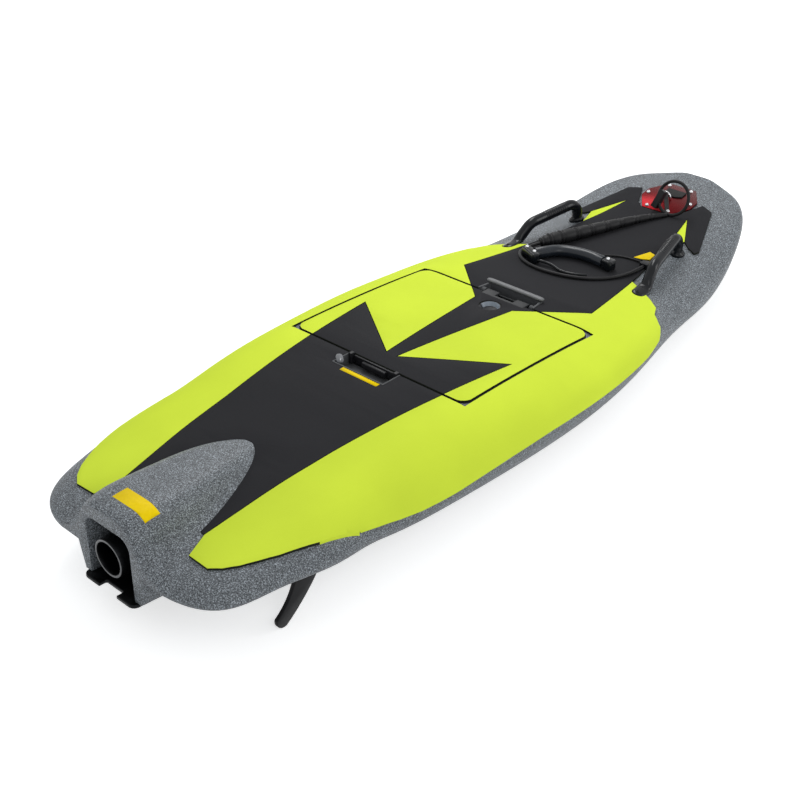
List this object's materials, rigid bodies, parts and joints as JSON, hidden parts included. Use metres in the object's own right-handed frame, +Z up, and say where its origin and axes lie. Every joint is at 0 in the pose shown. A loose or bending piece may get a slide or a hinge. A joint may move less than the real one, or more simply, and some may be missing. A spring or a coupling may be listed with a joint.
{
  "type": "electric jet surfboard",
  "caption": "Electric jet surfboard with a lime and black padded deck, hinged battery hatch, jet pump, foot handles, tail fins and a tethered throttle grip.",
  "frame": {"origin": "middle of the board's box, on the floor it is parked on", "axes": "+X to starboard, +Y to the bow, +Z up"},
  "size_m": [0.7558, 2.1176, 0.2721],
  "materials": {
    "battery": "powder coated",
    "deck_pad_aft": "foam deck pad",
    "deck_pad_fore": "foam deck pad",
    "deck_pad_nose_lime": "foam deck pad",
    "deck_pad_side": "foam deck pad",
    "drive_shaft": "ground",
    "fin_port": "moulded",
    "fin_starboard": "moulded",
    "foot_handle_port": "moulded over tube",
    "foot_handle_starboard": "moulded over tube",
    "hatch_cap": "moulded",
    "hatch_lid": "moulded",
    "hatch_pad_black": "foam deck pad",
    "hatch_pad_lime": "foam deck pad",
    "hinge_bezel": "moulded",
    "hinge_pin": "turned",
    "hull": "granite speckled",
    "impeller": "cast and ground",
    "intake_grate": "cut plate",
    "latch_bar": "moulded",
    "latch_blocks": "moulded",
    "latch_plate": "moulded",
    "latch_tray": "moulded",
    "motor": "anodised",
    "nose_eye": "polished",
    "nose_plate": "red anodised",
    "nose_strap": "webbing",
    "nose_tab": "webbing",
    "nozzle": "anodised",
    "pump_housing": "anodised",
    "ride_plate": "anodised",
    "stator": "machined",
    "tag": "plain yellow label",
    "tag_clip": "moulded",
    "tag_cord": "jacketed",
    "tether_cable": "jacketed",
    "tether_ring": "moulded",
    "tether_sleeve": "ribbed",
    "throttle_fitting": "moulded",
    "throttle_grip": "moulded",
    "throttle_lever": "moulded",
    "throttle_yoke": "moulded"
  },
  "bodies": {
    "board": {"battery": "battery", "deck_pad_aft": "deck_pad_aft", "deck_pad_fore": "deck_pad_fore", "deck_pad_nose_lime": "deck_pad_nose_lime", "deck_pad_side": "deck_pad_side", "fin_port": "fin_port", "fin_starboard": "fin_starboard", "foot_handle_port": "foot_handle_port", "foot_handle_starboard": "foot_handle_starboard", "hinge_bezel": "hinge_bezel", "hinge_pin": "hinge_pin", "hull": "hull", "intake_grate": "intake_grate", "latch_tray": "latch_tray", "motor": "motor", "nose_eye": "nose_eye", "nose_plate": "nose_plate", "nose_strap": "nose_strap", "nose_tab": "nose_tab", "nozzle": "nozzle", "pump_housing": "pump_housing", "ride_plate": "ride_plate", "stator": "stator", "tag": "tag", "tag_clip": "tag_clip", "tag_cord": "tag_cord", "tether_cable": "tether_cable", "tether_ring": "tether_ring", "tether_sleeve": "tether_sleeve", "throttle_fitting": "throttle_fitting", "throttle_grip": "throttle_grip", "throttle_lever": "throttle_lever", "throttle_yoke": "throttle_yoke"},
    "hatch": {"hatch_lid": "hatch_lid", "hatch_pad_black": "hatch_pad_black", "hatch_pad_lime": "hatch_pad_lime", "hatch_cap": "hatch_cap", "latch_plate": "latch_plate", "latch_bar": "latch_bar", "latch_blocks": "latch_blocks"},
    "impeller": {"impeller": "impeller", "drive_shaft": "drive_shaft"}
  },
  "joints": [
    {"name": "hatch_hinge", "type": "hinge", "parent": "board", "child": "hatch", "pos_m": [0, 0.18499, 0.18485], "axis": [-1, 0, 0], "range_deg": [0, 85]},
    {"name": "impeller_spin", "type": "hinge", "parent": "board", "child": "impeller", "pos_m": [0, -0.78039, 0.1415], "axis": [0, 0.9982, -0.0603], "continuous": true}
  ]
}
